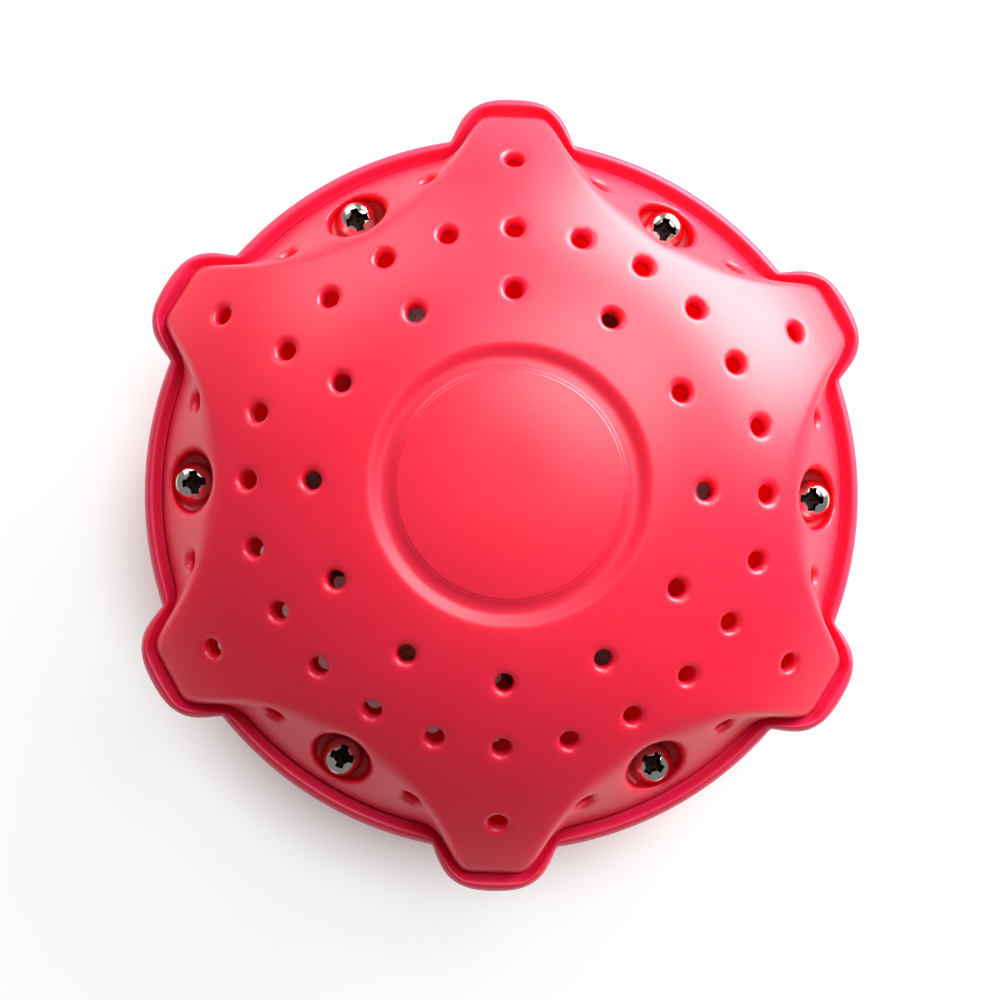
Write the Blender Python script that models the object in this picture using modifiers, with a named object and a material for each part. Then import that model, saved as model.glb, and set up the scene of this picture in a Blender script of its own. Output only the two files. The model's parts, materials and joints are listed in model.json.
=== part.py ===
"""A laundry ball, modelled in metres with +Z up and its origin at the ball's centre.

Two moulded star domes meet at the parting plane, z = 0, and clamp a soft bumper ring between their
edges. Six screws sink into pockets in the upper dome's valleys and bite into blind bosses of the
lower dome. A loose charge of ceramic beads lies inside, and water reaches it through small holes.
"""

import math

import bmesh
import bpy
from mathutils import Matrix, Vector

MM = 0.001

# Heights of one dome above the parting plane
HALF_HEIGHT = 20.0 * MM
TIP_HEIGHT = 3.2 * MM
FLANGE_TOP = 2.5 * MM
PARTING_GAP = 0.3 * MM

# Plan of one dome: a round rim, six arms that reach past it, and a round bite between each two arms
ARM_COUNT = 6
RIM_RADIUS = 44.35 * MM
ARM_REACH = 5.15 * MM
VALLEY_RUN = 6.95 * MM
BITE_RADIUS = 32.0 * MM
WALL_DRAFT = 0.4 * MM
TIP_ROUNDING = 1.8 * MM
LEAST_ROUNDING = 0.6 * MM
ROUNDING_GROWTH = 2.2
LOBE_ROUNDING = 2.2 * MM
CREASE_ROUNDING = 3.0 * MM
DOME_POWER = 2.9

# The flat that the ball rests on, and the ring groove round the disc at each pole
LAND_RADIUS = 8.0 * MM
DISC_RADIUS = 14.3 * MM
GROOVE_WIDTH = 3.9 * MM
GROOVE_DEPTH = 1.2 * MM

# Walls and the parting joint
WALL = 2.0 * MM
FOOT_WIDTH = 3.3 * MM
REBATE_WIDTH = 1.5 * MM
REBATE_HEIGHT = 0.8 * MM
CLEARANCE = 0.3 * MM

# The soft ring that the domes clamp
BUMPER_WIDTH = 2.5 * MM
BUMPER_HEIGHT = 5.0 * MM
BUMPER_ROOT = 2.4 * MM
BUMPER_SIDE_SHARE = 0.7

# Water holes
HOLE_DIAMETER = 2.4 * MM
INNER_RING_GAP = 6.6 * MM
MIDDLE_RING_GAP = 4.45 * MM
TIP_HOLE_INSET = 6.7 * MM
VALLEY_HOLE_SPREAD = math.radians(14.2)
VALLEY_HOLE_DROP = 0.3

# Screws: thread-forming, with a pan head and a cross recess
HEAD_DIAMETER = 5.4 * MM
HEAD_HEIGHT = 2.2 * MM
SHANK_DIAMETER = 2.9 * MM
SCREW_LENGTH = 6.5 * MM
POINT_LENGTH = 1.2 * MM
RECESS_SPAN = 3.4 * MM
RECESS_WIDTH = 0.9 * MM
RECESS_DEPTH = 1.3 * MM
FIRST_RECESS_TURN = math.radians(20)
NEXT_RECESS_TURN = math.radians(37)

# What holds the screws
SEAT_HEIGHT = 2.2 * MM
POCKET_LIP = 1.15 * MM
POCKET_SLOT = 1.1 * MM
POCKET_WALL = 1.5 * MM
BOSS_WALL = 1.7 * MM

# Beads
BEAD_DIAMETER = 8.0 * MM
BEAD_GAP = 0.5 * MM
BEAD_RINGS = 3

# How finely the forms are divided, and how strongly the segments crowd towards the arms' corners
SEGMENTS = 96
CAVITY_SEGMENTS = 48
ARM_CROWDING = 0.113
CORNER_CROWDING = 0.035
DOME_RINGS = (0.35, 0.7)
CAVITY_RINGS = (0.3, 0.55, 0.8, 1.0)
HOLE_SIDES = 6
SCREW_SIDES = 12
BORE_SIDES = 12
BOSS_SIDES = 16
POCKET_SIDES = 24
BEAD_DIVISIONS = 2
FACET_TURN = math.radians(10)
RING_STEP = 1.0 * MM
OVERCUT = 1.0 * MM
SHARP_ANGLE = math.radians(35)

SECTOR = 2 * math.pi / ARM_COUNT
VALLEY_RADIUS = RIM_RADIUS - VALLEY_RUN
BITE_CENTRE = VALLEY_RADIUS + BITE_RADIUS
TIP_RADIUS = RIM_RADIUS + ARM_REACH
GROOVE_RADIUS = DISC_RADIUS + GROOVE_WIDTH
FOOT_HEIGHT = PARTING_GAP / 2
BORE_RADIUS = SHANK_DIAMETER / 2 + CLEARANCE
POCKET_RADIUS = HEAD_DIAMETER / 2 + CLEARANCE
SCREW_CIRCLE = RIM_RADIUS - POCKET_LIP - POCKET_RADIUS
HEAD_SEAT = SEAT_HEIGHT + CLEARANCE
BORE_BOTTOM = HEAD_SEAT - SCREW_LENGTH - CLEARANCE

UP = 1
DOWN = -1


# Scene helpers

def clear_scene():
    for obj in list(bpy.data.objects):
        bpy.data.objects.remove(obj, do_unlink=True)


def make_collection(name):
    collection = bpy.data.collections.new(name)
    bpy.context.scene.collection.children.link(collection)
    return collection


def make_material(name, colour, roughness, metallic=0.0):
    material = bpy.data.materials.new(name)
    material.use_nodes = True
    shader = material.node_tree.nodes["Principled BSDF"]
    shader.inputs["Base Color"].default_value = (*colour, 1.0)
    shader.inputs["Roughness"].default_value = roughness
    shader.inputs["Metallic"].default_value = metallic
    return material


def add_object(name, bm, collection):
    mesh = bpy.data.meshes.new(name)
    bm.to_mesh(mesh)
    bm.free()
    obj = bpy.data.objects.new(name, mesh)
    collection.objects.link(obj)
    return obj


def add_cutter(name, bm):
    cutter = add_object(name, bm, CUTTERS)
    cutter.hide_render = True
    cutter.display_type = "WIRE"
    return cutter


def bake(obj):
    """Replace an object's mesh with what its modifiers make of it."""
    depsgraph = bpy.context.evaluated_depsgraph_get()
    mesh = bpy.data.meshes.new_from_object(obj.evaluated_get(depsgraph))
    obj.modifiers.clear()
    obj.data = mesh


def close_and_orient(obj):
    """Fill the open end of a shape and turn its faces outwards."""
    bm = bmesh.new()
    bm.from_mesh(obj.data)
    border = [edge for edge in bm.edges if edge.is_boundary]
    bmesh.ops.holes_fill(bm, edges=border, sides=0)
    bmesh.ops.recalc_face_normals(bm, faces=bm.faces)
    bm.to_mesh(obj.data)
    bm.free()


def cut(obj, cutter):
    boolean = obj.modifiers.new(cutter.name, "BOOLEAN")
    boolean.operation = "DIFFERENCE"
    boolean.object = cutter


def turn(obj, steps):
    screw = obj.modifiers.new("turned", "SCREW")
    screw.steps = steps
    screw.render_steps = steps
    screw.use_merge_vertices = True
    screw.merge_threshold = 0.0001
    bake(obj)


def finish(obj, material, parent):
    obj.data.materials.clear()
    obj.data.materials.append(material)
    obj.data.shade_smooth()
    obj.data.set_sharp_from_angle(angle=SHARP_ANGLE)
    obj.parent = parent


# The outline of the star and of the rim

def soft_min(a, b, rounding):
    """The smaller of two numbers, rounded off where they cross."""
    near = max(rounding - abs(a - b), 0) / rounding
    return min(a, b) - near * near * rounding / 4


def soft_max(a, b, rounding):
    return -soft_min(-a, -b, rounding)


def star_radius(angle, side_offset=0.0, tip_offset=0.0):
    """Radius of the star's crease, or of a line outside it: flat arm tips with rounded corners,
    and a round bite in each valley. The corners get rounder further out."""
    off_valley = abs((angle + SECTOR / 2) % SECTOR - SECTOR / 2)
    off_arm = SECTOR / 2 - off_valley
    tip = (TIP_RADIUS - WALL_DRAFT + tip_offset) / math.cos(off_arm)
    across = BITE_CENTRE * math.sin(off_valley)
    reach = max((BITE_RADIUS - side_offset) ** 2 - across ** 2, 0)
    bite = BITE_CENTRE * math.cos(off_valley) - math.sqrt(reach)
    rounding = max(TIP_ROUNDING + ROUNDING_GROWTH * side_offset, LEAST_ROUNDING)
    return soft_min(tip, bite, rounding)


def edge_radius(angle, offset=0.0):
    """Radius of a dome's lower edge, or of a line that far outside it, but nearer on the arms' sides."""
    side_share = BUMPER_SIDE_SHARE if offset > 0 else 1
    star = star_radius(angle, WALL_DRAFT + side_share * offset, WALL_DRAFT + offset)
    return soft_max(star, RIM_RADIUS + offset, LOBE_ROUNDING)


def dome_height(radius):
    return HALF_HEIGHT - (HALF_HEIGHT - TIP_HEIGHT) * (radius / TIP_RADIUS) ** DOME_POWER


def dome_slope(radius):
    """How much the dome falls for each metre outwards."""
    fall = (HALF_HEIGHT - TIP_HEIGHT) * DOME_POWER / TIP_RADIUS
    return fall * (radius / TIP_RADIUS) ** (DOME_POWER - 1)


def inner_height(radius):
    """Height of the dome's inside, one wall below the outside."""
    return dome_height(radius) - WALL * math.hypot(1, dome_slope(radius))


# Sections of a dome, from its pole to the parting plane, as a list of (radius, height)

def groove_section():
    """The ring groove: a steep inner wall, a round floor and a soft outer shoulder."""
    wall_foot = DISC_RADIUS + 0.1 * GROOVE_WIDTH
    floor_end = DISC_RADIUS + 0.45 * GROOVE_WIDTH
    return [
        (DISC_RADIUS, dome_height(DISC_RADIUS)),
        (wall_foot, dome_height(wall_foot) - 0.9 * GROOVE_DEPTH),
        (floor_end, dome_height(floor_end) - GROOVE_DEPTH),
        (GROOVE_RADIUS, dome_height(GROOVE_RADIUS)),
    ]


def crease_section(angle):
    """The rounded crease between the dome and the valley's wall, and the wall's foot."""
    crease = star_radius(angle)
    corner = Vector((crease, dome_height(crease)))
    wall_foot = Vector((edge_radius(angle), FLANGE_TOP))
    wall = wall_foot - corner
    rounding = min(CREASE_ROUNDING, 0.45 * wall.length)
    start_radius = crease - rounding
    start = Vector((start_radius, dome_height(start_radius)))
    end = corner + wall.normalized() * rounding
    middle = (start + 2 * corner + end) / 4
    return [tuple(start), tuple(middle), tuple(end), tuple(wall_foot)]


def outer_section(angle):
    crease = crease_section(angle)
    start = crease[0][0]
    section = [(0.0, HALF_HEIGHT), (LAND_RADIUS, HALF_HEIGHT)] + groove_section()
    for share in DOME_RINGS:
        radius = GROOVE_RADIUS + (start - GROOVE_RADIUS) * share
        section.append((radius, dome_height(radius)))
    section += crease
    rebate = edge_radius(angle, -REBATE_WIDTH)
    section.append((edge_radius(angle), REBATE_HEIGHT))
    section.append((rebate, REBATE_HEIGHT))
    section.append((rebate, FOOT_HEIGHT))
    return section


def inner_section(angle):
    crease = star_radius(angle, -0.8 * WALL, -FOOT_WIDTH)
    section = [(0.0, HALF_HEIGHT - WALL)]
    for share in CAVITY_RINGS:
        section.append((crease * share, inner_height(crease * share)))
    foot = edge_radius(angle, -FOOT_WIDTH)
    section.append((foot, FOOT_HEIGHT))
    section.append((foot, FOOT_HEIGHT - OVERCUT))
    return section


# Turning a section that changes with the angle

def crowded(angle):
    """Move an angle towards the nearest corner of an arm, so that corners get the most segments."""
    to_arm = ARM_CROWDING * math.sin(ARM_COUNT * angle)
    to_corner = CORNER_CROWDING * math.sin(2 * ARM_COUNT * angle)
    return angle + SECTOR * (to_arm + to_corner)


def press_onto(obj, section_at):
    """Lift a flat turned disc onto a form: its rings take the points of the section."""
    for vertex in obj.data.vertices:
        ring = round(vertex.co.xy.length / RING_STEP)
        angle = crowded(math.atan2(vertex.co.y, vertex.co.x))
        radius, height = section_at(angle)[ring]
        vertex.co = (radius * math.cos(angle), radius * math.sin(angle), height)


def dome_block(name, section_at, collection, side, segments):
    """A solid dome with the given section, standing on the parting plane or hanging below it."""
    bm = bmesh.new()
    rings = [bm.verts.new((ring * RING_STEP, 0, 0)) for ring in range(len(section_at(0)))]
    for inner, outer in zip(rings, rings[1:]):
        bm.edges.new((inner, outer))
    block = add_object(name, bm, collection)
    turn(block, segments)
    press_onto(block, section_at)
    block.data.transform(Matrix.Diagonal((1, 1, side, 1)))
    close_and_orient(block)
    return block


# Cutters and pillars

def place_on_circle(index, radius, height):
    """A matrix that puts something in one of the valleys, its X axis pointing outwards."""
    return Matrix.Rotation(index * SECTOR, 4, "Z") @ Matrix.Translation((radius, 0, height))


def add_round(bm, radius, low, high, place, sides, stretch=1.0):
    """An upright cylinder between two heights, stretched sideways into an oval.

    Its facets are turned a little, so that none of its corners falls on a segment's edge.
    """
    oval = Matrix.Diagonal((1, stretch, 1, 1)) @ Matrix.Rotation(FACET_TURN, 4, "Z")
    shape = Matrix.Translation((0, 0, (low + high) / 2)) @ oval
    bmesh.ops.create_cone(
        bm,
        cap_ends=True,
        segments=sides,
        radius1=radius,
        radius2=radius,
        depth=high - low,
        matrix=place @ shape,
    )


def six_rounds(name, radius, low, high, sides, stretch=1.0):
    """One upright cylinder in each valley, on the screws' circle."""
    bm = bmesh.new()
    for index in range(ARM_COUNT):
        add_round(bm, radius, low, high, place_on_circle(index, SCREW_CIRCLE, 0), sides, stretch)
    return add_cutter(name, bm)


def pocket_stretch(radius):
    """How much wider than long a pocket, or the wall round it, has to be."""
    return (radius + POCKET_SLOT) / radius


def wall_point(angle, drop):
    """A point on a valley's wall: drop is 0 at the crease and 1 at its foot."""
    crease = star_radius(angle)
    radius = crease + (edge_radius(angle) - crease) * drop
    height = dome_height(crease) + (FLANGE_TOP - dome_height(crease)) * drop
    return Vector((radius * math.cos(angle), radius * math.sin(angle), height))


def dome_hole(angle, radius):
    """Where a hole in the dome goes, and the way it points."""
    slope = dome_slope(radius)
    point = Vector((radius * math.cos(angle), radius * math.sin(angle), dome_height(radius)))
    normal = Vector((slope * math.cos(angle), slope * math.sin(angle), 1)).normalized()
    return point, normal


def valley_hole(angle):
    point = wall_point(angle, VALLEY_HOLE_DROP)
    step = 0.01
    along = wall_point(angle + step, VALLEY_HOLE_DROP) - point
    down = wall_point(angle, VALLEY_HOLE_DROP + step) - point
    return point, down.cross(along).normalized()


def hole_places():
    """All the water holes of the upper dome."""
    inner_ring = GROOVE_RADIUS + INNER_RING_GAP
    middle_ring = VALLEY_RADIUS - MIDDLE_RING_GAP
    places = []
    for index in range(2 * ARM_COUNT):
        places.append(dome_hole(index * SECTOR / 2, inner_ring))
    for index in range(4 * ARM_COUNT):
        places.append(dome_hole(index * SECTOR / 4, middle_ring))
    for index in range(ARM_COUNT):
        places.append(dome_hole((index + 0.5) * SECTOR, TIP_RADIUS - TIP_HOLE_INSET))
        places.append(valley_hole(index * SECTOR - VALLEY_HOLE_SPREAD))
        places.append(valley_hole(index * SECTOR + VALLEY_HOLE_SPREAD))
    return places


def square_to(point, normal):
    """A matrix at a point of the surface: Z along the normal, X level."""
    level = Vector((0, 0, 1)).cross(normal).normalized()
    frame = Matrix((level, normal.cross(level), normal)).transposed()
    return Matrix.Translation(point) @ frame.to_4x4()


def hole_cutter(name, side):
    """A thin rod through the wall at each water hole, square to the surface."""
    bm = bmesh.new()
    reach = WALL + 2 * OVERCUT
    for point, normal in hole_places():
        add_round(bm, HOLE_DIAMETER / 2, -reach, reach, square_to(point, normal), HOLE_SIDES)
    bmesh.ops.transform(bm, matrix=Matrix.Diagonal((1, 1, side, 1)), verts=bm.verts)
    bmesh.ops.recalc_face_normals(bm, faces=bm.faces)
    return add_cutter(name, bm)


# The pieces

def make_shell(name, side, pillars):
    """A dome with its cavity taken out, except where pillars stand in it."""
    shell = dome_block(name, outer_section, PARTS, side, SEGMENTS)
    cavity = dome_block(name + "_cavity", inner_section, CUTTERS, side, CAVITY_SEGMENTS)
    cavity.hide_render = True
    cavity.display_type = "WIRE"
    cut(cavity, pillars)
    cut(shell, cavity)
    cut(shell, hole_cutter(name + "_holes", side))
    return shell


def make_upper_shell():
    wall_radius = POCKET_RADIUS + POCKET_WALL
    stretch = pocket_stretch(wall_radius)
    low = -2 * OVERCUT
    walls = six_rounds("pocket_walls", wall_radius, low, HALF_HEIGHT, POCKET_SIDES, stretch)
    shell = make_shell("upper_shell", UP, walls)
    stretch = pocket_stretch(POCKET_RADIUS)
    pockets = six_rounds("pockets", POCKET_RADIUS, SEAT_HEIGHT, HALF_HEIGHT, POCKET_SIDES, stretch)
    bores = six_rounds("clearance_bores", BORE_RADIUS, -OVERCUT, SEAT_HEIGHT + OVERCUT, BORE_SIDES)
    cut(shell, pockets)
    cut(shell, bores)
    return shell


def make_lower_shell():
    boss_radius = BORE_RADIUS + BOSS_WALL
    bosses = six_rounds("bosses", boss_radius, -HALF_HEIGHT, 2 * OVERCUT, BOSS_SIDES)
    shell = make_shell("lower_shell", DOWN, bosses)
    cut(shell, six_rounds("thread_bores", BORE_RADIUS, BORE_BOTTOM, OVERCUT, BORE_SIDES))
    return shell


def bumper_profile():
    """Half of the ring's section, from its tongue outwards, as (offset from the edge, height)."""
    tongue_end = CLEARANCE - REBATE_WIDTH
    tongue_top = REBATE_HEIGHT - CLEARANCE
    bead_width = BUMPER_WIDTH - CLEARANCE
    return [
        (tongue_end, tongue_top),
        (CLEARANCE, tongue_top),
        (CLEARANCE, BUMPER_ROOT / 2),
        (CLEARANCE + 0.4 * bead_width, 0.43 * BUMPER_HEIGHT),
        (CLEARANCE + 0.68 * bead_width, 0.5 * BUMPER_HEIGHT),
        (CLEARANCE + 0.93 * bead_width, 0.4 * BUMPER_HEIGHT),
        (BUMPER_WIDTH, 0.2 * BUMPER_HEIGHT),
    ]


def make_bumper_ring():
    """The soft ring, turned as a plain one and then pressed out to follow the arms."""
    half = bumper_profile()
    section = half + [(offset, -height) for offset, height in reversed(half)]
    bm = bmesh.new()
    corners = [bm.verts.new((RIM_RADIUS + offset, 0, height)) for offset, height in section]
    for corner, following in zip(corners, corners[1:] + corners[:1]):
        bm.edges.new((corner, following))
    ring = add_object("bumper_ring", bm, PARTS)
    turn(ring, SEGMENTS)
    for vertex in ring.data.vertices:
        offset = vertex.co.xy.length - RIM_RADIUS
        angle = crowded(math.atan2(vertex.co.y, vertex.co.x))
        radius = edge_radius(angle, offset)
        vertex.co.xy = (radius * math.cos(angle), radius * math.sin(angle))
    close_and_orient(ring)
    return ring


def screw_mesh():
    """A pan-head screw, its seat at z = 0 and its cross recess cut into the head."""
    head = HEAD_DIAMETER / 2
    shank = SHANK_DIAMETER / 2
    profile = [
        (0, HEAD_HEIGHT),
        (0.7 * head, 0.92 * HEAD_HEIGHT),
        (0.96 * head, 0.55 * HEAD_HEIGHT),
        (head, 0.0),
        (shank, 0.0),
        (shank, POINT_LENGTH - SCREW_LENGTH),
        (0, -SCREW_LENGTH),
    ]
    bm = bmesh.new()
    points = [bm.verts.new((radius, 0, height)) for radius, height in profile]
    for upper, lower in zip(points, points[1:]):
        bm.edges.new((upper, lower))
    screw = add_object("screw_pattern", bm, PARTS)
    turn(screw, SCREW_SIDES)
    close_and_orient(screw)
    for quarter in range(2):
        bm = bmesh.new()
        size = Matrix.Diagonal((RECESS_SPAN, RECESS_WIDTH, 2 * RECESS_DEPTH, 1))
        spin = Matrix.Rotation(quarter * math.pi / 2, 4, "Z")
        place = Matrix.Translation((0, 0, HEAD_HEIGHT)) @ spin @ size
        bmesh.ops.create_cube(bm, size=1, matrix=place)
        cut(screw, add_cutter(f"recess_{quarter + 1}", bm))
    bake(screw)
    mesh = screw.data
    bpy.data.objects.remove(screw, do_unlink=True)
    return mesh


def make_screws(parent):
    """Six screws in their pockets, each with its recess stopped at its own angle."""
    mesh = screw_mesh()
    for index in range(ARM_COUNT):
        screw = bpy.data.objects.new(f"screw_{index + 1}", mesh)
        PARTS.objects.link(screw)
        finish(screw, NICKEL, parent)
        screw.matrix_world = (
            place_on_circle(index, SCREW_CIRCLE, HEAD_SEAT)
            @ Matrix.Rotation(FIRST_RECESS_TURN + index * NEXT_RECESS_TURN, 4, "Z")
        )


def bead_places():
    """Bead centres: a hexagonal layer, each bead a clearance above the lower dome's inside."""
    pitch = BEAD_DIAMETER + BEAD_GAP
    places = []
    for row in range(-BEAD_RINGS, BEAD_RINGS + 1):
        first = max(-BEAD_RINGS, -row - BEAD_RINGS)
        last = min(BEAD_RINGS, -row + BEAD_RINGS)
        for column in range(first, last + 1):
            x = pitch * (column + row / 2)
            y = pitch * row * math.sqrt(3) / 2
            radius = math.hypot(x, y)
            standoff = BEAD_DIAMETER / 2 + CLEARANCE
            z = standoff * math.hypot(1, dome_slope(radius)) - inner_height(radius)
            places.append((x, y, z))
    return sorted(places, key=lambda place: (round(math.hypot(place[0], place[1]), 6), place))


def make_beads(parent):
    bm = bmesh.new()
    bmesh.ops.create_icosphere(bm, subdivisions=BEAD_DIVISIONS, radius=BEAD_DIAMETER / 2)
    pattern = add_object("bead_pattern", bm, PARTS)
    mesh = pattern.data
    bpy.data.objects.remove(pattern, do_unlink=True)
    glazes = (CERAMIC_WHITE, CERAMIC_GREY, CERAMIC_TAN)
    for index, place in enumerate(bead_places()):
        bead = bpy.data.objects.new(f"bead_{index + 1:02d}", mesh.copy())
        PARTS.objects.link(bead)
        finish(bead, glazes[index % len(glazes)], parent)
        bead.location = place


def make_empty(name):
    empty = bpy.data.objects.new(name, None)
    PARTS.objects.link(empty)
    return empty


clear_scene()
PARTS = make_collection("laundry_ball")
CUTTERS = make_collection("cutters")
RED_SHELL = make_material("red_shell", (0.84, 0.02, 0.04), 0.38)
RED_BUMPER = make_material("red_bumper", (0.80, 0.01, 0.07), 0.55)
NICKEL = make_material("nickel_plated_steel", (0.72, 0.69, 0.66), 0.18, 1.0)
CERAMIC_WHITE = make_material("white_ceramic", (0.84, 0.82, 0.78), 0.35)
CERAMIC_GREY = make_material("grey_ceramic", (0.27, 0.26, 0.25), 0.45)
CERAMIC_TAN = make_material("tan_ceramic", (0.52, 0.36, 0.24), 0.45)

lower_half = make_empty("lower_half")
upper_half = make_empty("upper_half")
bead_charge = make_empty("bead_charge")
upper_half.parent = lower_half
bead_charge.parent = lower_half

finish(make_lower_shell(), RED_SHELL, lower_half)
finish(make_bumper_ring(), RED_BUMPER, lower_half)
finish(make_upper_shell(), RED_SHELL, upper_half)
make_screws(upper_half)
make_beads(bead_charge)
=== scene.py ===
# %% [markdown]
# # A laundry ball, dressed for its portrait
#
# The ball is two moulded domes with six arms, a soft bumper ring clamped between their edges, six small
# screws and a loose charge of ceramic beads. A plain model of all of it is loaded first, as the frame.
# This lesson then makes the fine surfaces that a camera sees: soft hole lips, rounded creases, threads,
# and the finish of each material. Every piece stays where the frame says, so it also moves with it.

import json
import math

import bpy
from mathutils import Matrix, Vector


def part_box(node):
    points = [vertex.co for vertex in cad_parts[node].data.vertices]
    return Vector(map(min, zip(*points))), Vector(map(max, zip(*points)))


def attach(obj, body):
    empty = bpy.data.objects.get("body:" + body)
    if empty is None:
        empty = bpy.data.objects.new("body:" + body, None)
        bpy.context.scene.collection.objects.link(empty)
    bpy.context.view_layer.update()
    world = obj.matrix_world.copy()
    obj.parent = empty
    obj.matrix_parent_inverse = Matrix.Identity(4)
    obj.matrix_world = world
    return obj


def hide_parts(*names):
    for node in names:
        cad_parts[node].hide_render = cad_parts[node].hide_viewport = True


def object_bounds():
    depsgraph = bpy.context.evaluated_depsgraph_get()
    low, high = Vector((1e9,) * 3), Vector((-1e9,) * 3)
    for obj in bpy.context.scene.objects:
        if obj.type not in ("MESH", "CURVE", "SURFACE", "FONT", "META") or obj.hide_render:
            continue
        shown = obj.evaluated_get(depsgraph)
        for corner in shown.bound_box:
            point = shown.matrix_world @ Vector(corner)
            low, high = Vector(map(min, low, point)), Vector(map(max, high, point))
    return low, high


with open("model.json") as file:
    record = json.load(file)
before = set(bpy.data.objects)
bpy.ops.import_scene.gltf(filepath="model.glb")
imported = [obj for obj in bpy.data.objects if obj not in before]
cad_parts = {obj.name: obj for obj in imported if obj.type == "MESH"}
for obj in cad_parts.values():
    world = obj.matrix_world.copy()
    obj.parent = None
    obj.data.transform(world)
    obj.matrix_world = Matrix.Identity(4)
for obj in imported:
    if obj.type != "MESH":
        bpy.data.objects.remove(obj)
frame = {"nodes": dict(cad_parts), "record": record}

MM = 0.001
cad_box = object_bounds()
ball_size = cad_box[1] - cad_box[0]
print("the frame is", [round(side / MM, 1) for side in ball_size], "mm")

# %% [markdown]
# ## Three small habits
#
# Operators act on whatever is selected, and the frame's own pieces are selected when they arrive. So
# each step first picks its own object. Modifiers are applied in their order as soon as they are set,
# and a finished piece leaves its place in its mesh, with its object at the origin.

# %% Picking, applying and settling
def pick(*objects):
    """Select only these objects, and make the first one active."""
    bpy.ops.object.select_all(action="DESELECT")
    for obj in objects:
        obj.select_set(True)
    bpy.context.view_layer.objects.active = objects[0]


def apply_modifiers(obj):
    pick(obj)
    for modifier in list(obj.modifiers):
        bpy.ops.object.modifier_apply(modifier=modifier.name)


def settle(obj, name):
    """Name a piece and move its place, turn and scale into its mesh."""
    pick(obj)
    obj.name = name
    obj.data.name = name
    bpy.ops.object.transform_apply(location=True, rotation=True, scale=True)


def cut_away(obj, *cutters, material_mode="INDEX"):
    """Cut one piece by others, which are then thrown away. TRANSFER keeps a cutter's own material."""
    for cutter in cutters:
        boolean = obj.modifiers.new("cut", "BOOLEAN")
        boolean.operation = "DIFFERENCE"
        boolean.material_mode = material_mode
        boolean.object = cutter
        apply_modifiers(obj)
        bpy.data.objects.remove(cutter, do_unlink=True)


# %% [markdown]
# ## The star in plan
#
# Seen from above, a dome is a round rim with six arms that reach past it. Between two arms a round bite
# is taken out of the dome, and its edge is a soft crease. Such an outline could be drawn by hand as a
# curve, but a formula gives its radius at any angle, and one that rounds off where two shapes cross
# gives the corners for nothing. Most sizes are the frame's own, and where the frame can tell them, it
# is asked. The rounded corners are a little softer here than in the plain model.

# %% Sizes of the domes
shell_low, shell_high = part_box("upper_shell")
ring_low, ring_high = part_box("bumper_ring")

HALF_HEIGHT = shell_high.z
FOOT_HEIGHT = shell_low.z
TIP_RADIUS = shell_high.y
BUMPER_WIDTH = ring_high.y - shell_high.y
BUMPER_HEIGHT = ring_high.z - ring_low.z

ARM_COUNT = 6
ARM_REACH = 5.15 * MM
VALLEY_RUN = 6.95 * MM
BITE_RADIUS = 32.0 * MM
WALL_DRAFT = 0.4 * MM
TIP_ROUNDING = 3.6 * MM
LOBE_ROUNDING = 2.2 * MM

TIP_HEIGHT = 3.2 * MM
FLANGE_TOP = 2.5 * MM
DOME_POWER = 2.9
WALL = 2.0 * MM
FOOT_WIDTH = 3.3 * MM
REBATE_WIDTH = 1.5 * MM
REBATE_HEIGHT = 0.8 * MM
CLEARANCE = 0.3 * MM

SECTOR = 2 * math.pi / ARM_COUNT
RIM_RADIUS = TIP_RADIUS - ARM_REACH
VALLEY_RADIUS = RIM_RADIUS - VALLEY_RUN
BITE_CENTRE = VALLEY_RADIUS + BITE_RADIUS
print("across two arms", round(2 * (TIP_RADIUS + BUMPER_WIDTH) / MM, 1), "mm")


# %% The outline of the star and of the rim
def soft_min(a, b, rounding):
    """The smaller of two numbers, rounded off where they cross."""
    near = max(rounding - abs(a - b), 0) / rounding
    return min(a, b) - near * near * rounding / 4


def soft_max(a, b, rounding):
    return -soft_min(-a, -b, rounding)


def star_radius(angle, side_offset=0.0, tip_offset=0.0):
    """Radius of the crease, or of a line outside it."""
    off_valley = abs((angle + SECTOR / 2) % SECTOR - SECTOR / 2)
    off_arm = SECTOR / 2 - off_valley
    tip = (TIP_RADIUS - WALL_DRAFT + tip_offset) / math.cos(off_arm)
    across = BITE_CENTRE * math.sin(off_valley)
    reach = max((BITE_RADIUS - side_offset) ** 2 - across ** 2, 0)
    bite = BITE_CENTRE * math.cos(off_valley) - math.sqrt(reach)
    return soft_min(tip, bite, TIP_ROUNDING)


def edge_radius(angle, offset=0.0):
    """Radius of a dome's lower edge, or of a line that far outside it."""
    star = star_radius(angle, WALL_DRAFT + offset, WALL_DRAFT + offset)
    return soft_max(star, RIM_RADIUS + offset, LOBE_ROUNDING)


def dome_height(radius):
    return HALF_HEIGHT - (HALF_HEIGHT - TIP_HEIGHT) * (radius / TIP_RADIUS) ** DOME_POWER


def dome_slope(radius):
    """How much the dome falls for each metre outwards."""
    fall = (HALF_HEIGHT - TIP_HEIGHT) * DOME_POWER / TIP_RADIUS
    return fall * (radius / TIP_RADIUS) ** (DOME_POWER - 1)


# %% [markdown]
# ## The section of a dome
#
# Cut through the middle, the dome has a flat where the ball rests, a crowned disc, a fine notch where
# the mould's round insert ended, a ring groove with a soft outer shoulder, a long fall outwards, the
# crease, the valley's wall and a small step that holds the bumper ring. The section is written as
# functions of the radius, so that it can be sampled as finely as the eye needs.

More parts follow.
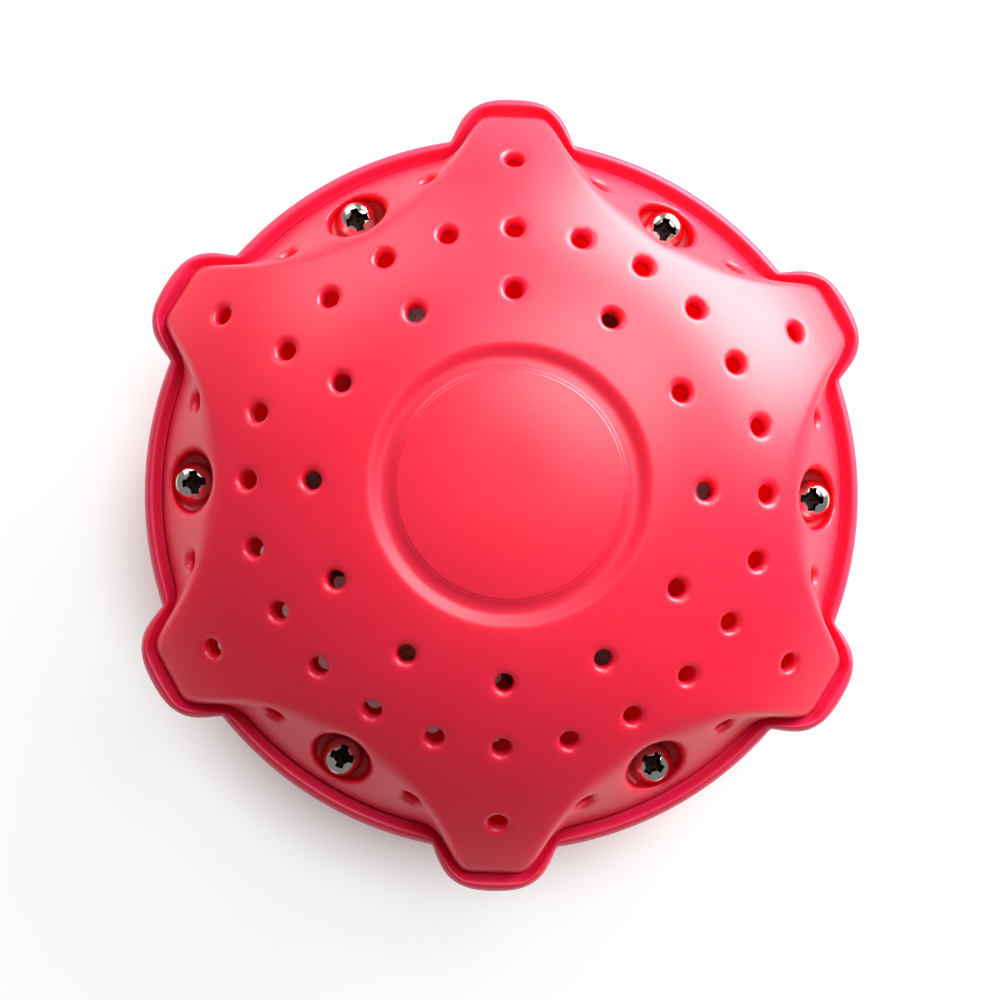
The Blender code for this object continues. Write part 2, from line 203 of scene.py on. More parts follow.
# %% The outside, from the pole to the foot
LAND_RADIUS = 3.0 * MM
DISC_RADIUS = 14.35 * MM
DISC_CROWN = 75.0 * MM
NOTCH_DEPTH = 0.09 * MM
NOTCH_WIDTH = 0.16 * MM
GROOVE_WIDTH = 3.8 * MM
GROOVE_RADIUS = DISC_RADIUS + GROOVE_WIDTH
GROOVE_DEPTH = 0.46 * MM
GROOVE_CURVE = 2.5
SHOULDER_WIDTH = 2.0 * MM
ARM_CREASE = 0.8 * MM
VALLEY_CREASE = 2.4 * MM
CREASE_REACH = 0.45
FOOT_ROUNDING = 0.45 * MM
FIRST_RING = 1.4 * MM
DISC_END = 14.0 * MM
GROOVE_START = 14.2 * MM
DISC_STEPS = 10
GROOVE_STEPS = 34
DOME_STEPS = 18
CREASE_STEPS = 10
WALL_STEPS = 6
FOOT_STEPS = 5
EDGE_STEPS = 3


def smooth_step(value):
    """0 below 0, 1 above 1, and a soft S between."""
    value = min(max(value, 0), 1)
    return value * value * (3 - 2 * value)


def top_height(radius):
    """Height of the crowned disc, of the groove outside it, and of the dome outside both."""
    crown = max(min(radius, DISC_RADIUS) - LAND_RADIUS, 0) ** 2 / (2 * DISC_CROWN)
    across = min(max((radius - DISC_RADIUS) / (GROOVE_WIDTH - SHOULDER_WIDTH), 0), 1)
    fall = GROOVE_DEPTH * (1 - (1 - across) ** GROOVE_CURVE)
    notch = NOTCH_DEPTH * smooth_step(1 - abs(radius - DISC_RADIUS) / NOTCH_WIDTH)
    disc = HALF_HEIGHT - crown - fall - notch
    share = smooth_step((radius - GROOVE_RADIUS + SHOULDER_WIDTH) / SHOULDER_WIDTH)
    return disc + (dome_height(radius) - disc) * share


def shares(count, first=0.0, last=1.0):
    """Evenly spaced numbers from first to last."""
    return [first + (last - first) * step / (count - 1) for step in range(count)]


def outer_section(angle):
    """Points (radius, height) of the outside, from near the pole to the foot."""
    section = [(radius, top_height(radius)) for radius in shares(DISC_STEPS, FIRST_RING, DISC_END)]
    section += [(radius, top_height(radius)) for radius in shares(GROOVE_STEPS, GROOVE_START, GROOVE_RADIUS)]
    crease = star_radius(angle)
    off_arm = SECTOR / 2 - abs((angle + SECTOR / 2) % SECTOR - SECTOR / 2)
    widest = ARM_CREASE + (VALLEY_CREASE - ARM_CREASE) * smooth_step(2 * off_arm / SECTOR)
    corner = Vector((crease, dome_height(crease)))
    wall_foot = Vector((edge_radius(angle), FLANGE_TOP))
    wall = wall_foot - corner
    rounding = min(widest, CREASE_REACH * wall.length)
    start = Vector((crease - rounding, dome_height(crease - rounding)))
    end = corner + wall.normalized() * rounding
    for share in shares(DOME_STEPS)[1:-1]:
        radius = GROOVE_RADIUS + (start.x - GROOVE_RADIUS) * share
        section.append((radius, dome_height(radius)))
    for share in shares(CREASE_STEPS):
        near, far = start.lerp(corner, share), corner.lerp(end, share)
        section.append(tuple(near.lerp(far, share)))
    section += [tuple(end.lerp(wall_foot, share)) for share in shares(WALL_STEPS)[1:-1]]
    below = Vector((wall_foot.x, wall_foot.y - FOOT_ROUNDING))
    above = wall_foot - wall.normalized() * FOOT_ROUNDING
    for share in shares(FOOT_STEPS):
        near, far = above.lerp(wall_foot, share), wall_foot.lerp(below, share)
        section.append(tuple(near.lerp(far, share)))
    rebate = edge_radius(angle, -REBATE_WIDTH)
    section += [(wall_foot.x, height) for height in shares(EDGE_STEPS, below.y, REBATE_HEIGHT)[1:]]
    section += [(rebate, REBATE_HEIGHT), (rebate, FOOT_HEIGHT)]
    return section


# %% The inside, one wall further in
CEILING_STEPS = 22
FIRST_SHARE = 0.03
SIDE_STEPS = 8
SIDE_WALL = 0.8 * WALL
OVERCUT = 1.0 * MM


def inner_height(radius):
    return dome_height(radius) - WALL * math.hypot(1, dome_slope(radius))


def inner_section(angle):
    """Points of the cavity, from near the pole to just below the parting plane."""
    crease = star_radius(angle, -SIDE_WALL, -FOOT_WIDTH)
    ceiling = [crease * share for share in shares(CEILING_STEPS, FIRST_SHARE)]
    section = [(radius, inner_height(radius)) for radius in ceiling]
    foot = edge_radius(angle, -FOOT_WIDTH)
    corner = Vector(section[-1])
    floor = Vector((foot, FOOT_HEIGHT))
    section += [tuple(corner.lerp(floor, share)) for share in shares(SIDE_STEPS)[1:]]
    section.append((foot, FOOT_HEIGHT - OVERCUT))
    return section


print("a section has", len(outer_section(0)), "points outside and", len(inner_section(0)), "inside")

# %% [markdown]
# ## A disc of rings, pressed like a moulding
#
# The dome changes with the angle, so it can't simply be turned on a lathe. A flat disc of even rings is
# made first: a circle, extruded inwards ring by ring with the scale tool, and merged at its pole. Each
# ring then takes the points of the section at its own angle, the way a flat sheet is drawn over a form.

# %% Ring discs
SEGMENTS = 288


def ring_disc(name, ring_count):
    """A disc whose ring number n has radius n millimetres, closed underneath by one face."""
    bpy.ops.object.select_all(action="DESELECT")
    bpy.ops.mesh.primitive_circle_add(vertices=SEGMENTS, radius=ring_count * MM)
    disc = bpy.context.object
    disc.name = name
    bpy.ops.object.mode_set(mode="EDIT")
    bpy.ops.mesh.edge_face_add()
    bpy.ops.mesh.select_all(action="SELECT")
    bpy.ops.mesh.select_mode(type="EDGE")
    for ring in range(ring_count - 1, 0, -1):
        bpy.ops.mesh.extrude_edges_move()
        share = ring / (ring + 1)
        bpy.ops.transform.resize(value=(share, share, 1))
    bpy.ops.mesh.extrude_edges_move()
    bpy.ops.mesh.merge(type="CENTER")
    bpy.ops.object.mode_set(mode="OBJECT")
    return disc


def press_dome(name, section_at):
    """A closed block in the form of the section."""
    block = ring_disc(name, len(section_at(0)))
    known = {}
    for vertex in block.data.vertices:
        ring = round(vertex.co.xy.length / MM)
        angle = math.atan2(vertex.co.y, vertex.co.x)
        key = round(angle, 5)
        if key not in known:
            known[key] = section_at(angle)
        pole_height = known[key][0][1]
        radius, height = known[key][ring - 1] if ring else (0, pole_height)
        vertex.co = (radius * math.cos(angle), radius * math.sin(angle), height)
    pick(block)
    bpy.ops.object.mode_set(mode="EDIT")
    bpy.ops.mesh.select_all(action="SELECT")
    bpy.ops.mesh.normals_make_consistent(inside=False)
    bpy.ops.object.mode_set(mode="OBJECT")
    return block


# %% [markdown]
# ## What is cut out of a dome
#
# Water holes with soft lips run in rings round the disc, one near each arm's tip and two in each
# valley. The upper dome has an oval pocket in each valley for a screw, and the lower dome has a blind
# boss below it. A hole's cutter is a peg whose head flares like a trumpet, and this flare leaves the
# soft lip. One peg is made, and copies are stood on the surface along its normal.

# %% Where the holes are
HOLE_RADIUS = 1.17 * MM
LIP_RADIUS = 1.9 * MM
LIP_DEPTH = 0.8 * MM
INNER_RING_GAP = 6.6 * MM
MIDDLE_RING_GAP = 4.45 * MM
TIP_HOLE_INSET = 6.7 * MM
VALLEY_HOLE_SPREAD = math.radians(14.2)
VALLEY_HOLE_DROP = 0.3


def wall_point(angle, drop):
    """A point on a valley's wall: drop is 0 at the crease and 1 at its foot."""
    crease = star_radius(angle)
    radius = crease + (edge_radius(angle) - crease) * drop
    height = dome_height(crease) + (FLANGE_TOP - dome_height(crease)) * drop
    return Vector((radius * math.cos(angle), radius * math.sin(angle), height))


def dome_hole(angle, radius):
    slope = dome_slope(radius)
    point = Vector((radius * math.cos(angle), radius * math.sin(angle), dome_height(radius)))
    return point, Vector((slope * math.cos(angle), slope * math.sin(angle), 1)).normalized()


def valley_hole(angle):
    step = 0.01
    point = wall_point(angle, VALLEY_HOLE_DROP)
    along = wall_point(angle + step, VALLEY_HOLE_DROP) - point
    down = wall_point(angle, VALLEY_HOLE_DROP + step) - point
    return point, down.cross(along).normalized()


def hole_places():
    """The points and the normals of all the water holes of a dome."""
    inner_ring = GROOVE_RADIUS + INNER_RING_GAP
    middle_ring = VALLEY_RADIUS - MIDDLE_RING_GAP
    places = [dome_hole(step * SECTOR / 2, inner_ring) for step in range(2 * ARM_COUNT)]
    places += [dome_hole(step * SECTOR / 4, middle_ring) for step in range(4 * ARM_COUNT)]
    for index in range(ARM_COUNT):
        places.append(dome_hole((index + 0.5) * SECTOR, TIP_RADIUS - TIP_HOLE_INSET))
        places.append(valley_hole(index * SECTOR - VALLEY_HOLE_SPREAD))
        places.append(valley_hole(index * SECTOR + VALLEY_HOLE_SPREAD))
    return places


# %% The flared peg and its copies
PEG_LENGTH = 4.0 * MM
PEG_SIDES = 32
FLARE_STEPS = 6


def flared_peg():
    """A peg along Z whose surface mark is at z = 0, flaring out from LIP_DEPTH below it."""
    bpy.ops.object.select_all(action="DESELECT")
    bpy.ops.mesh.primitive_circle_add(vertices=PEG_SIDES, radius=HOLE_RADIUS, fill_type="NGON",
                                      location=(0, 0, -PEG_LENGTH))
    peg = bpy.context.object
    bpy.ops.object.mode_set(mode="EDIT")
    height, radius = -PEG_LENGTH, HOLE_RADIUS
    for step in range(FLARE_STEPS + 2):
        quarter = min(step / FLARE_STEPS, 1) * math.pi / 2
        new_height = -LIP_DEPTH * (1 - math.sin(quarter))
        new_radius = LIP_RADIUS - (LIP_RADIUS - HOLE_RADIUS) * math.cos(quarter)
        if step > FLARE_STEPS:
            new_height = LIP_DEPTH
            new_radius = LIP_RADIUS + 2 * LIP_DEPTH
        bpy.ops.mesh.extrude_region_move(TRANSFORM_OT_translate={"value": (0, 0, new_height - height)})
        bpy.ops.transform.resize(value=(new_radius / radius, new_radius / radius, 1))
        height, radius = new_height, new_radius
    bpy.ops.mesh.select_all(action="SELECT")
    bpy.ops.mesh.normals_make_consistent(inside=False)
    bpy.ops.object.mode_set(mode="OBJECT")
    bpy.ops.object.transform_apply(location=True)
    return peg


def join_copies(pattern, places):
    """Copies of a pattern at the given matrices, joined into one object. The pattern is removed."""
    copies = []
    for place in places:
        copy = bpy.data.objects.new(pattern.name, pattern.data.copy())
        bpy.context.scene.collection.objects.link(copy)
        copy.matrix_world = place
        copies.append(copy)
    pick(*copies)
    bpy.ops.object.join()
    joined = bpy.context.object
    bpy.ops.object.transform_apply(location=True, rotation=True, scale=True)
    bpy.data.objects.remove(pattern, do_unlink=True)
    return joined


def all_hole_pegs():
    places = []
    for point, normal in hole_places():
        turn = normal.to_track_quat("Z", "Y").to_matrix().to_4x4()
        places.append(Matrix.Translation(point) @ turn)
    return join_copies(flared_peg(), places)


# %% Round cutters on the screws' circle
HEAD_DIAMETER = 5.4 * MM
SHANK_DIAMETER = 2.9 * MM
SCREW_LENGTH = 6.5 * MM
SEAT_HEIGHT = 2.2 * MM
POCKET_LIP = 1.15 * MM
POCKET_SLOT = 1.1 * MM
POCKET_WALL = 1.5 * MM
BOSS_WALL = 1.7 * MM
POCKET_FIT = 0.15 * MM
POCKET_RADIUS = HEAD_DIAMETER / 2 + CLEARANCE
BORE_RADIUS = SHANK_DIAMETER / 2 + CLEARANCE
SCREW_CIRCLE = RIM_RADIUS - POCKET_LIP - POCKET_RADIUS
HEAD_SEAT = SEAT_HEIGHT + CLEARANCE
ROUND_SIDES = 64


def screw_place(index, height=0.0):
    """The matrix of a place on the screws' circle, its X axis pointing outwards."""
    return Matrix.Rotation(index * SECTOR, 4, "Z") @ Matrix.Translation((SCREW_CIRCLE, 0, height))


def six_rounds(radius, low, high, slot=0.0):
    """Upright cylinders between two heights, stretched sideways by slot on each side."""
    bpy.ops.object.select_all(action="DESELECT")
    bpy.ops.mesh.primitive_cylinder_add(vertices=ROUND_SIDES, radius=radius, depth=high - low,
                                        location=(0, 0, (low + high) / 2))
    round_cutter = bpy.context.object
    bpy.ops.object.mode_set(mode="EDIT")
    bpy.ops.transform.resize(value=(1, (radius + slot) / radius, 1))
    bpy.ops.object.mode_set(mode="OBJECT")
    bpy.ops.object.transform_apply(location=True)
    return join_copies(round_cutter, [screw_place(index) for index in range(ARM_COUNT)])


# %% [markdown]
# ## Cutting and softening a dome
#
# Moulded plastic has no sharp edges: steel moulds are polished, and plastic shrinks away from corners.
# Bevels on hundreds of boolean edges would fail somewhere, so the cut dome is remeshed into even small
# quads and then smoothed a little, which rounds every edge by a few tenths of a millimetre. The quads
# leave small steps along the pockets' rims, so these are smoothed for longer. All of this would rub out
# the notch round the disc. So the faces there are subdivided afterwards, the points of the disc and the
# groove are set back on their section, and the groove's outer edge is eased into the dome once more.

# %% Softening
QUAD_SIZE = 0.3 * MM
SMOOTH_SHARE = 0.5
SMOOTH_STEPS = 5
RIM_SMOOTH_STEPS = 30
RIM_BAND = 0.9 * MM
SEAT_MARGIN = 0.3 * MM
TRIANGLE_LIMIT = 165000


def beside_pocket(point):
    """Whether a point is near the oval wall of one of the six pockets, above its floor."""
    angle = math.atan2(point.y, point.x)
    off_valley = (angle + SECTOR / 2) % SECTOR - SECTOR / 2
    out = point.xy.length * math.cos(off_valley) - SCREW_CIRCLE
    aside = point.xy.length * math.sin(off_valley)
    share = math.hypot(out / POCKET_RADIUS, aside / (POCKET_RADIUS + POCKET_SLOT))
    return abs(share - 1) * POCKET_RADIUS < RIM_BAND and point.z > SEAT_HEIGHT + SEAT_MARGIN


def soften(obj, has_pockets):
    """Remesh a piece into even quads and round its edges, and those of its pockets once more."""
    remesh = obj.modifiers.new("even quads", "REMESH")
    remesh.mode = "VOXEL"
    remesh.voxel_size = QUAD_SIZE
    smooth = obj.modifiers.new("round edges", "SMOOTH")
    smooth.factor = SMOOTH_SHARE
    smooth.iterations = SMOOTH_STEPS
    apply_modifiers(obj)
    if has_pockets:
        rims = obj.vertex_groups.new(name="pocket_rims")
        rims.add([vertex.index for vertex in obj.data.vertices if beside_pocket(vertex.co)], 1.0, "REPLACE")
        even_out = obj.modifiers.new("even pocket rims", "SMOOTH")
        even_out.factor = SMOOTH_SHARE
        even_out.iterations = RIM_SMOOTH_STEPS
        even_out.vertex_group = rims.name
        apply_modifiers(obj)
    triangles = sum(len(face.vertices) - 2 for face in obj.data.polygons)
    if triangles > TRIANGLE_LIMIT:
        decimate = obj.modifiers.new("fewer faces", "DECIMATE")
        decimate.ratio = TRIANGLE_LIMIT / triangles
        apply_modifiers(obj)
    print(obj.name, triangles, "triangles before thinning")


# %% Bringing back the notch
NOTCH_BAND = 0.4 * MM
NOTCH_CUTS = 3
TOP_REACH = 0.8 * MM
FACES_UP = 0.5
BLEND_BAND = 1.5 * MM
BLEND_STEPS = 2


def restore_top(dome):
    """Refine the mesh along the notch, put the top's points on the section, and ease them in."""
    pick(dome)
    bpy.ops.object.mode_set(mode="EDIT")
    bpy.ops.mesh.select_mode(type="FACE")
    bpy.ops.mesh.select_all(action="DESELECT")
    bpy.ops.object.mode_set(mode="OBJECT")
    for face in dome.data.polygons:
        radius = face.center.xy.length
        outside = face.center.z > top_height(radius) - TOP_REACH and face.normal.z > FACES_UP
        face.select = outside and abs(radius - DISC_RADIUS) < NOTCH_BAND
    bpy.ops.object.mode_set(mode="EDIT")
    bpy.ops.mesh.subdivide(number_cuts=NOTCH_CUTS)
    bpy.ops.mesh.select_mode(type="VERT")
    bpy.ops.mesh.select_all(action="DESELECT")
    bpy.ops.object.mode_set(mode="OBJECT")
    for vertex in dome.data.vertices:
        radius = vertex.co.xy.length
        height = top_height(radius)
        outside = vertex.co.z > height - TOP_REACH
        if outside and radius < GROOVE_RADIUS:
            vertex.co.z = height
        vertex.select = outside and abs(radius - GROOVE_RADIUS) < BLEND_BAND
    bpy.ops.object.mode_set(mode="EDIT")
    bpy.ops.mesh.vertices_smooth(factor=SMOOTH_SHARE, repeat=BLEND_STEPS)
    bpy.ops.object.mode_set(mode="OBJECT")
    bpy.ops.object.shade_smooth()
    print(dome.name, sum(len(face.vertices) - 2 for face in dome.data.polygons), "triangles")


# %% Turning the lower dome over
def turn_over(obj):
    """Mirror a dome below the parting plane and turn its faces out again."""
    pick(obj)
    bpy.ops.object.mode_set(mode="EDIT")
    bpy.ops.mesh.select_all(action="SELECT")
    bpy.ops.transform.mirror(constraint_axis=(False, False, True), center_override=(0, 0, 0))
    bpy.ops.mesh.flip_normals()
    bpy.ops.object.mode_set(mode="OBJECT")


# %% The two domes
def make_upper_dome():
    dome = press_dome("upper_dome", outer_section)
    cavity = press_dome("upper_cavity", inner_section)
    walls = six_rounds(POCKET_RADIUS + POCKET_WALL, -2 * OVERCUT, HALF_HEIGHT, POCKET_SLOT)
    cut_away(cavity, walls)
    tight = POCKET_RADIUS - POCKET_FIT
    pockets = six_rounds(tight, SEAT_HEIGHT, HALF_HEIGHT, POCKET_SLOT + POCKET_FIT)
    bores = six_rounds(BORE_RADIUS, -OVERCUT, SEAT_HEIGHT + OVERCUT)
    cut_away(dome, cavity, pockets, bores, all_hole_pegs())
    soften(dome, has_pockets=True)
    restore_top(dome)
    return dome


def make_lower_dome():
    dome = press_dome("lower_dome", outer_section)
    cavity = press_dome("lower_cavity", inner_section)
    cut_away(cavity, six_rounds(BORE_RADIUS + BOSS_WALL, -2 * OVERCUT, HALF_HEIGHT))
    bore_depth = SCREW_LENGTH + CLEARANCE - HEAD_SEAT
    bores = six_rounds(BORE_RADIUS, -OVERCUT, bore_depth)
    cut_away(dome, cavity, bores, all_hole_pegs())
    soften(dome, has_pockets=False)
    restore_top(dome)
    turn_over(dome)
    return dome


upper_dome = make_upper_dome()
lower_dome = make_lower_dome()

# %% [markdown]
# ## The bumper ring
#
# The ring is soft rubber-like plastic. Its section is a rounded bead, a gutter next to the shell, and a
# thin tongue that the two domes clamp. On its inner side it follows the domes' edge. Outside it has
# rounder lobes than the arms they protect, because soft plastic is moulded with generous corners. So
# the section is drawn once, spun round the ball as a plain ring, and each point is then moved between
# those two outlines by its share of the way across.

# %% The bead's section and the outer outline
RING_SEGMENTS = 720
GUTTER_STEPS = 9
SHOULDER_STEPS = 10
RING_SHARP_ANGLE = math.radians(50)
RING_MERGE = 0.01 * MM
TONGUE_TOP = REBATE_HEIGHT - CLEARANCE
RING_FIT = 0.1 * MM
GUTTER_TOP = 1.5 * MM
BEAD_CENTRE = 1.55 * MM
BEAD_TOP = BUMPER_HEIGHT / 2
BEAD_SHOULDER = 0.7 * MM
SEAM_DEPTH = 0.05 * MM
SEAM_HEIGHT = 0.1 * MM
LOBE_ROOT = 40.0 * MM
LOBE_HALF_ANGLE = math.radians(10.3)
LOBE_POWER = 2.8
LOBE_FILLET = 2.7 * MM


def lobed_radius(angle):
    """Radius of the ring's outer edge: a round rim with a soft lobe over each arm."""
    off_arm = min(abs(angle % SECTOR - SECTOR / 2) / LOBE_HALF_ANGLE, 1)
    lobe_height = TIP_RADIUS + BUMPER_WIDTH - LOBE_ROOT
    lobe = LOBE_ROOT + lobe_height * (1 - off_arm ** LOBE_POWER) ** (1 / LOBE_POWER)
    return soft_max(lobe, RIM_RADIUS + BUMPER_WIDTH, LOBE_FILLET)


def bead_section():
    """The upper half of the ring's section, from the tongue outwards, as (offset, height)."""
    section = [(-REBATE_WIDTH, TONGUE_TOP), (CLEARANCE, TONGUE_TOP)]
    section += [(RING_FIT, TONGUE_TOP + RING_FIT), (RING_FIT, GUTTER_TOP - RING_FIT)]
    for share in shares(GUTTER_STEPS):
        offset = 2 * RING_FIT + (BEAD_CENTRE - 2 * RING_FIT) * share
        section.append((offset, GUTTER_TOP + (BEAD_TOP - GUTTER_TOP) * smooth_step(share)))
    for share in shares(SHOULDER_STEPS + 1)[1:]:
        quarter = share * math.pi / 2
        offset = BEAD_CENTRE + (BUMPER_WIDTH - BEAD_CENTRE) * math.sin(quarter)
        section.append((offset, BEAD_SHOULDER + (BEAD_TOP - BEAD_SHOULDER) * math.cos(quarter)))
    section += [(BUMPER_WIDTH, 2 * SEAM_HEIGHT), (BUMPER_WIDTH - SEAM_DEPTH, SEAM_HEIGHT / 2)]
    return section


# %% Spin it and push it out
def make_bumper():
    half = bead_section()
    section = half + [(offset, -height) for offset, height in reversed(half)]
    bpy.ops.object.select_all(action="DESELECT")
    bpy.ops.mesh.primitive_circle_add(vertices=len(section))
    ring = bpy.context.object
    for vertex, (offset, height) in zip(ring.data.vertices, section):
        vertex.co = (RIM_RADIUS + offset, 0, height)
    bpy.ops.object.mode_set(mode="EDIT")
    bpy.ops.mesh.select_all(action="SELECT")
    bpy.ops.mesh.spin(steps=RING_SEGMENTS, angle=2 * math.pi, center=(0, 0, 0), axis=(0, 0, 1))
    bpy.ops.mesh.select_all(action="SELECT")
    bpy.ops.mesh.remove_doubles(threshold=RING_MERGE)
    bpy.ops.object.mode_set(mode="OBJECT")
    for vertex in ring.data.vertices:
        angle = math.atan2(vertex.co.y, vertex.co.x)
        offset = vertex.co.xy.length - RIM_RADIUS
        if offset > 0:
            inner, across = edge_radius(angle), offset / BUMPER_WIDTH
            radius = inner + (lobed_radius(angle) - inner) * across
        else:
            radius = edge_radius(angle, offset)
        vertex.co.xy = (radius * math.cos(angle), radius * math.sin(angle))
    bpy.ops.object.mode_set(mode="EDIT")
    bpy.ops.mesh.select_all(action="SELECT")
    bpy.ops.mesh.normals_make_consistent(inside=False)
    bpy.ops.object.mode_set(mode="OBJECT")
    bpy.ops.object.shade_smooth_by_angle(angle=RING_SHARP_ANGLE)
    settle(ring, "soft_bumper")
    print("bumper ring:", len(ring.data.polygons), "faces")
    return ring


soft_bumper = make_bumper()

# %% [markdown]
# ## Colours, and a first finish: nickel plate
#
# The screws need their finish before they are made, because the recess that is cut into a head brings
# its own dark steel along, which paints the shade that falls in the recess. Colours are written as the hex
# values that a paint program shows, and one function turns them to the linear values that light adds up in.
# One more adds a node with its links.

# %% Colours and nodes
def srgb(code):
    """A hex colour as linear red, green, blue and full alpha."""
    values = []
    for start in (0, 2, 4):
        share = int(code[start:start + 2], 16) / 255
        values.append(share / 12.92 if share <= 0.04045 else ((share + 0.055) / 1.055) ** 2.4)
    return (*values, 1.0)


def per_size(size):
    """The scale of a noise whose features are about this many metres."""
    return 1 / size


def add_node(tree, kind, settings=(), links=()):
    """A node with its settings, by property or socket name, and its links, by socket name."""
    node = tree.nodes.new(kind)
    for name, value in dict(settings).items():
        if name in node.inputs:
            node.inputs[name].default_value = value
        else:
            setattr(node, name, value)
    for name, socket in dict(links).items():
        tree.links.new(socket, node.inputs[name])
    return node


def start_material(name):
    material = bpy.data.materials.new(name)
    material.use_nodes = True
    tree = material.node_tree
    shader = tree.nodes["Principled BSDF"]
    place = add_node(tree, "ShaderNodeTexCoord").outputs["Object"]
    return material, tree, shader, place


# %% Nickel plate, bright, and a dark one that paints the recess's shade
RUB_SIZE = 0.8 * MM


def metal_skin(name, colour, smoothest, roughest):
    """Nickel over steel, with faint rub marks that make its gloss uneven."""
    material, tree, shader, place = start_material(name)
    rubs = add_node(tree, "ShaderNodeTexNoise", {"Scale": per_size(RUB_SIZE), "Detail": 5.0},
                    {"Vector": place})
    gloss = add_node(tree, "ShaderNodeMapRange", {"To Min": smoothest, "To Max": roughest},
                     {"Value": rubs.outputs["Fac"]})
    tree.links.new(gloss.outputs["Result"], shader.inputs["Roughness"])
    shader.inputs["Base Color"].default_value = srgb(colour)
    shader.inputs["Metallic"].default_value = 1.0
    return material


bright_nickel = metal_skin("nickel_plated_steel", "DDD8D0", smoothest=0.08, roughest=0.2)
# The dark recess steel is painted shade: it darkens the punched cross, where shadow falls, instead of
# letting its floor mirror the sky.
painted_shade_recess = metal_skin("painted_shade_recess_steel", "2B2320", smoothest=0.45, roughest=0.6)

# %% [markdown]
# ## The screws
#
# These are small pan-head screws with a cross recess, bright nickel on steel. Such a screw is made from
# wire: the head is struck, the recess is punched, and the thread is rolled. It is made the same way
# here. A profile is spun to a blank with head and shank, two bars and a round core are cut out of its
# head, and the shank's points are then pressed in between the threads. The cut faces keep the bars'
# dark steel, which paints the shade in the recess. One screw is copied to six pockets.

# %% The blank
HEAD_HEIGHT = 2.2 * MM
HEAD_SQUARENESS = 2.5
HEAD_RIM = 0.3 * MM
EDGE_BREAK = 0.08 * MM
POINT_LENGTH = 1.2 * MM
THREAD_PITCH = 1.1 * MM
THREAD_DEPTH = 0.42 * MM
THREAD_WIDTH = 0.26
THREAD_START = 0.3 * MM
RING_SPACING = 0.09 * MM
HEAD_STEPS = 18
SCREW_STEPS = 64
SCREW_MERGE = 0.001 * MM
SCREW_SHARP_ANGLE = math.radians(40)
EDGE_SEGMENTS = 3


def turned(name, profile, steps):
    """A solid spun round the Z axis from a profile that starts and ends on the axis."""
    bpy.ops.object.select_all(action="DESELECT")
    bpy.ops.mesh.primitive_circle_add(vertices=len(profile))
    solid = bpy.context.object
    solid.name = name
    for vertex, (radius, height) in zip(solid.data.vertices, profile):
        vertex.co = (radius, 0, height)
    bpy.ops.object.mode_set(mode="EDIT")
    bpy.ops.mesh.select_mode(type="EDGE")
    bpy.ops.mesh.select_all(action="DESELECT")
    bpy.ops.object.mode_set(mode="OBJECT")
    for edge in solid.data.edges:
        edge.select = set(edge.vertices) == {0, len(profile) - 1}
    bpy.ops.object.mode_set(mode="EDIT")
    bpy.ops.mesh.delete(type="EDGE")
    bpy.ops.mesh.select_all(action="SELECT")
    bpy.ops.mesh.spin(steps=steps, angle=2 * math.pi, center=(0, 0, 0), axis=(0, 0, 1))
    bpy.ops.mesh.select_all(action="SELECT")
    bpy.ops.mesh.remove_doubles(threshold=SCREW_MERGE)
    bpy.ops.mesh.normals_make_consistent(inside=False)
    bpy.ops.object.mode_set(mode="OBJECT")
    return solid


def screw_profile():
    """Head, seat, shank and point as (radius, height), with the seat at height 0."""
    radius = HEAD_DIAMETER / 2
    shank = SHANK_DIAMETER / 2
    profile = [(0, HEAD_HEIGHT)]
    for share in shares(HEAD_STEPS + 1)[1:]:
        across = math.sin(share * math.pi / 2)
        drop = (1 - across ** HEAD_SQUARENESS) ** (1 / HEAD_SQUARENESS)
        profile.append((radius * across, HEAD_RIM + (HEAD_HEIGHT - HEAD_RIM) * drop))
    profile += [(radius, EDGE_BREAK), (radius - EDGE_BREAK, 0), (shank, 0)]
    body_length = SCREW_LENGTH - POINT_LENGTH
    ring_count = round(body_length / RING_SPACING)
    profile += [(shank, -height) for height in shares(ring_count, 0, body_length)[1:]]
    for share in shares(round(POINT_LENGTH / RING_SPACING))[1:-1]:
        profile.append((shank * (1 - share) + EDGE_BREAK, -body_length - POINT_LENGTH * share))
    profile += [(EDGE_BREAK, -SCREW_LENGTH), (0, -SCREW_LENGTH)]
    return profile


# %% Punch the recess and roll the thread
RECESS_SPAN = 3.9 * MM
RECESS_WIDTH = 1.15 * MM
RECESS_DEPTH = 1.6 * MM
BAR_FOOT = (0.6, 0.75)
CORE_RADIUS = 1.05 * MM
CORE_HEIGHT = 1.0 * MM
CORE_WALL = 0.5 * MM
CORE_TIP = 0.3 * MM
CORE_STEPS = 24


def recess_bar(turn):
    """One bar of the cross, narrower towards its foot."""
    bpy.ops.object.select_all(action="DESELECT")
    bpy.ops.mesh.primitive_cube_add(size=1, location=(0, 0, 0))
    bar = bpy.context.object
    # The bar's faces paint the recess's shade with dark steel.
    bar.data.materials.append(painted_shade_recess)
    bpy.ops.object.mode_set(mode="EDIT")
    bpy.ops.transform.resize(value=(RECESS_SPAN, RECESS_WIDTH, 2 * RECESS_DEPTH))
    bpy.ops.mesh.select_all(action="DESELECT")
    bpy.ops.object.mode_set(mode="OBJECT")
    for vertex in bar.data.vertices:
        vertex.select = vertex.co.z < 0
    bpy.ops.object.mode_set(mode="EDIT")
    bpy.ops.transform.resize(value=(*BAR_FOOT, 1), center_override=(0, 0, 0))
    bpy.ops.object.mode_set(mode="OBJECT")
    bar.matrix_world = Matrix.Translation((0, 0, HEAD_HEIGHT)) @ Matrix.Rotation(turn, 4, "Z")
    return bar


